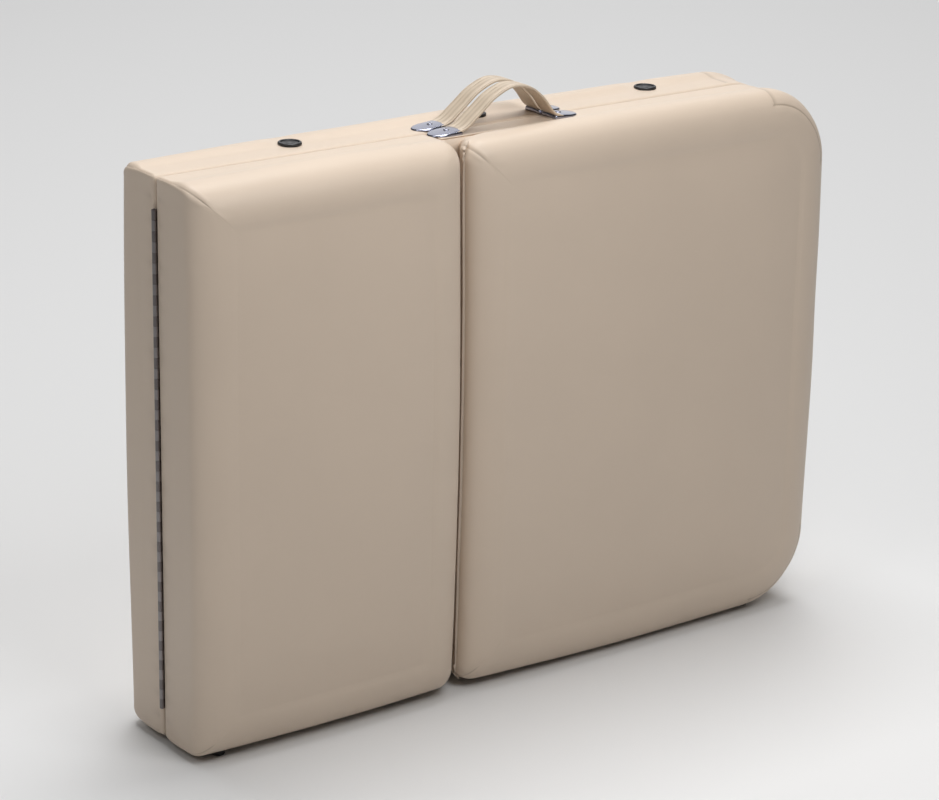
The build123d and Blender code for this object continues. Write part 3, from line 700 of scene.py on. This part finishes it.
def plastic_finish(name, colour, rough, scale, strength):
    """Moulded plastic or rubber: a dark tint in faint clouds over a sparked, stippled surface."""
    material = bpy.data.materials.new(name)
    material.use_nodes = True
    nodes, link = material.node_tree.nodes, material.node_tree.links.new
    surface = nodes["Principled BSDF"]
    surface.inputs["Roughness"].default_value = rough
    place = nodes.new("ShaderNodeTexCoord").outputs["Object"]
    cloud = nodes.new("ShaderNodeTexNoise")
    cloud.inputs["Scale"].default_value = 60
    link(place, cloud.inputs["Vector"])
    tone = nodes.new("ShaderNodeMix")
    tone.data_type = "RGBA"
    link(cloud.outputs["Fac"], tone.inputs["Factor"])
    tone.inputs["A"].default_value = (*[c * 0.7 for c in colour], 1)
    tone.inputs["B"].default_value = (*[c * 1.3 for c in colour], 1)
    link(tone.outputs["Result"], surface.inputs["Base Color"])
    stipple = nodes.new("ShaderNodeTexNoise")
    stipple.inputs["Scale"].default_value = scale
    link(place, stipple.inputs["Vector"])
    bump = nodes.new("ShaderNodeBump")
    bump.inputs["Strength"].default_value = strength
    bump.inputs["Distance"].default_value = 0.1 * mm
    link(stipple.outputs["Fac"], bump.inputs["Height"])
    link(bump.outputs["Normal"], surface.inputs["Normal"])
    return material


black_plastic = plastic_finish("black_plastic", (0.012, 0.012, 0.014), 0.38, 1500, 0.25)
rubber = plastic_finish("rubber", (0.020, 0.019, 0.018), 0.65, 900, 0.4)


def turned(name, x, y, z, profile, material):
    """A turned piece: its profile, radius and height from the bottom up, swept round Z."""
    around = np.linspace(0, 2 * np.pi, 64, endpoint=False)
    r, h = np.array(profile).T[:, :, None] * mm
    points = np.stack(
        [x + r * np.cos(around), y + r * np.sin(around), z + h + 0 * around], -1
    )
    piece = shell(name, points)
    piece.data.materials.append(material)
    return piece


bend = np.linspace(0, np.pi, 12)
rim_of_vent = [(14.5, -0.9), (14.5, 0.9)]
rim_of_vent += [(12.7 + 1.8 * np.cos(a), 1.2 + 1.6 * np.sin(a)) for a in bend]
rim_of_vent += [(10.7, 1.5), (10.2, 1.3), (9.4, 1.2), (4.4, 1.2), (4.0, 1.5), (3.4, 1.7), (1.0, 1.6)]
for k, x in enumerate(vent_x):
    vent = turned("vent_%d" % k, x, vent_y, Z1 + 0.9 * mm, rim_of_vent, black_plastic)
    if k == 0:
        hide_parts("vent_discs")
    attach(vent, "foot_half")

# ---- Case feet -------------------------------------------------------------------------------
# Tapered rubber feet under the lower side, each held by a screw in its hollow.
foot_profile = [(9.3, 10.4), (9.5, 9.8), (9.4, 8.6), (8.3, 1.4), (8.0, 0.7), (7.4, 0.2), (6.6, 0.02)]
foot_profile += [(4.2, 0.02), (3.8, 0.3), (3.6, 2.5), (1.0, 2.6)]
foot_r = 9.5 * mm
feet = {"seat_case_foot": "head_half", "backrest_case_foot": "backrest", "foot_case_feet": "foot_half"}
for node, body in feet.items():
    lo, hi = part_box(node)
    middle_y = (lo.y + hi.y) / 2
    ends = (lo.x + foot_r, hi.x - foot_r)
    for k, x in enumerate(ends[:1] if hi.x - lo.x < 3 * foot_r else ends):
        name = "%s_%d" % (node.replace("case_f", "rubber_f"), k)
        foot = turned(name, x, middle_y, 0, foot_profile[::-1], rubber)
        if k == 0:
            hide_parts(node)
        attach(foot, body)

# ---- Wood, hinge and leg hardware ------------------------------------------------------------
# Frames of lacquered beech, boards of birch plywood, a nickelled piano hinge, powder-coated
# leg tubes and zinc-plated stays, brackets and catches. Their shapes stay as the frame has them.


def wood_finish(name, light, dark, way):
    """Wood: rings stretched along the grain, with short dark pores between them."""
    material = bpy.data.materials.new(name)
    material.use_nodes = True
    nodes, link = material.node_tree.nodes, material.node_tree.links.new
    surface = nodes["Principled BSDF"]
    place = nodes.new("ShaderNodeTexCoord").outputs["Object"]
    stretch = nodes.new("ShaderNodeMapping")
    stretch.inputs["Scale"].default_value = way
    link(place, stretch.inputs["Vector"])
    rings = nodes.new("ShaderNodeTexNoise")
    rings.inputs["Scale"].default_value = 1
    rings.inputs["Detail"].default_value = 6
    rings.inputs["Distortion"].default_value = 0.6
    link(stretch.outputs["Vector"], rings.inputs["Vector"])
    ramp = nodes.new("ShaderNodeValToRGB")
    ramp.color_ramp.elements[0].position = 0.35
    ramp.color_ramp.elements[0].color = (*dark, 1)
    ramp.color_ramp.elements[1].position = 0.65
    ramp.color_ramp.elements[1].color = (*light, 1)
    link(rings.outputs["Fac"], ramp.inputs["Fac"])
    link(ramp.outputs["Color"], surface.inputs["Base Color"])
    surface.inputs["Roughness"].default_value = 0.45
    bump = nodes.new("ShaderNodeBump")
    bump.inputs["Strength"].default_value = 0.2
    bump.inputs["Distance"].default_value = 0.15 * mm
    link(rings.outputs["Fac"], bump.inputs["Height"])
    link(bump.outputs["Normal"], surface.inputs["Normal"])
    return material


finishes = {
    "vinyl": vinyl,
    "strap_vinyl": strap_vinyl,
    "chrome": chrome,
    "rubber": rubber,
    "black_plastic": black_plastic,
    "plywood": wood_finish("plywood", (0.62, 0.46, 0.29), (0.47, 0.32, 0.18), (6, 60, 90)),
    "beech": wood_finish("beech", (0.56, 0.36, 0.21), (0.40, 0.23, 0.12), (30, 220, 30)),
    "hinge_steel": metal_finish("hinge_steel", (0.27, 0.25, 0.25), 0.36, 0.3),
    "leg_steel": metal_finish("leg_steel", (0.52, 0.53, 0.55), 0.42, 0.2, 0.6),
    "zinc_steel": metal_finish("zinc_steel", (0.60, 0.61, 0.62), 0.30, 0.3),
}
for part in frame["record"]["subparts"]:
    node = frame["nodes"][part["node"]]
    node.data.materials.clear()
    node.data.materials.append(finishes[part["material_slot"]])
# The head half's leaf is painted a darker tone of the same plate, a painted shade, so that the knuckles
# can be told apart.
frame["nodes"]["hinge_leaf_head"].data.materials[0] = metal_finish(
    "hinge_steel_painted_shade", (0.19, 0.17, 0.17), 0.40, 0.3)

# ---- Studio ----------------------------------------------------------------------------------
# A pale grey floor and a faint even light all round. A large soft box hangs overhead and another
# stands behind, with a small one in front and a dim one off the hinge end.
floor_mesh = bpy.data.meshes.new("floor")
floor_mesh.from_pydata([(-30, -30, 0), (30, -30, 0), (30, 30, 0), (-30, 30, 0)], [], [(0, 1, 2, 3)])
floor = bpy.data.objects.new("floor", floor_mesh)
bpy.context.scene.collection.objects.link(floor)
paper = bpy.data.materials.new("paper")
paper.use_nodes = True
paper.node_tree.nodes["Principled BSDF"].inputs["Base Color"].default_value = (0.76, 0.76, 0.76, 1)
paper.node_tree.nodes["Principled BSDF"].inputs["Roughness"].default_value = 0.9
floor_mesh.materials.append(paper)

world = bpy.data.worlds.new("studio")
world.use_nodes = True
world.node_tree.nodes["Background"].inputs["Color"].default_value = (1, 1, 1, 1)
world.node_tree.nodes["Background"].inputs["Strength"].default_value = 0.06
bpy.context.scene.world = world


def soft_box(name, place, aim, size, power):
    """A square area light at a place, turned to face its aim."""
    light = bpy.data.lights.new(name, "AREA")
    light.size = size
    light.energy = power
    box = bpy.data.objects.new(name, light)
    box.location = place
    box.rotation_euler = (Vector(aim) - Vector(place)).to_track_quat("-Z", "Y").to_euler()
    bpy.context.scene.collection.objects.link(box)


soft_box("ceiling", (0.9, 1.3, 6.5), (0.9, 1.3, 0), 4, 350)
soft_box("back_panel", (4.4, 5.6, 3.2), (0, 0, 0.6), 6, 110)
soft_box("front_top", (-0.1, -1.05, 1.65), (0, -0.1, 0.75), 0.9, 11.5)
soft_box("hinge_side", (-1.7, -0.35, 1.65), (-0.4, 0, 0.7), 0.8, 5)

# ---- Camera ----------------------------------------------------------------------------------
# At a standing person's eye level, off the hinge end, with a long lens and a slight roll.
camera = bpy.data.cameras.new("camera")
camera.lens = 117.05
camera.sensor_width = 36
eye = bpy.data.objects.new("camera", camera)
stand = Vector((-2.1843, -2.9107, 1.6102))
target = Vector((-0.02956, 0, 0.35556))
roll = np.radians(1.069)
look = (target - stand).to_track_quat("-Z", "Y").to_matrix().to_4x4()
eye.matrix_world = Matrix.Translation(stand) @ look @ Matrix.Rotation(roll, 4, "Z")
bpy.context.scene.collection.objects.link(eye)
bpy.context.scene.camera = eye
bpy.context.scene.view_settings.view_transform = "Standard"
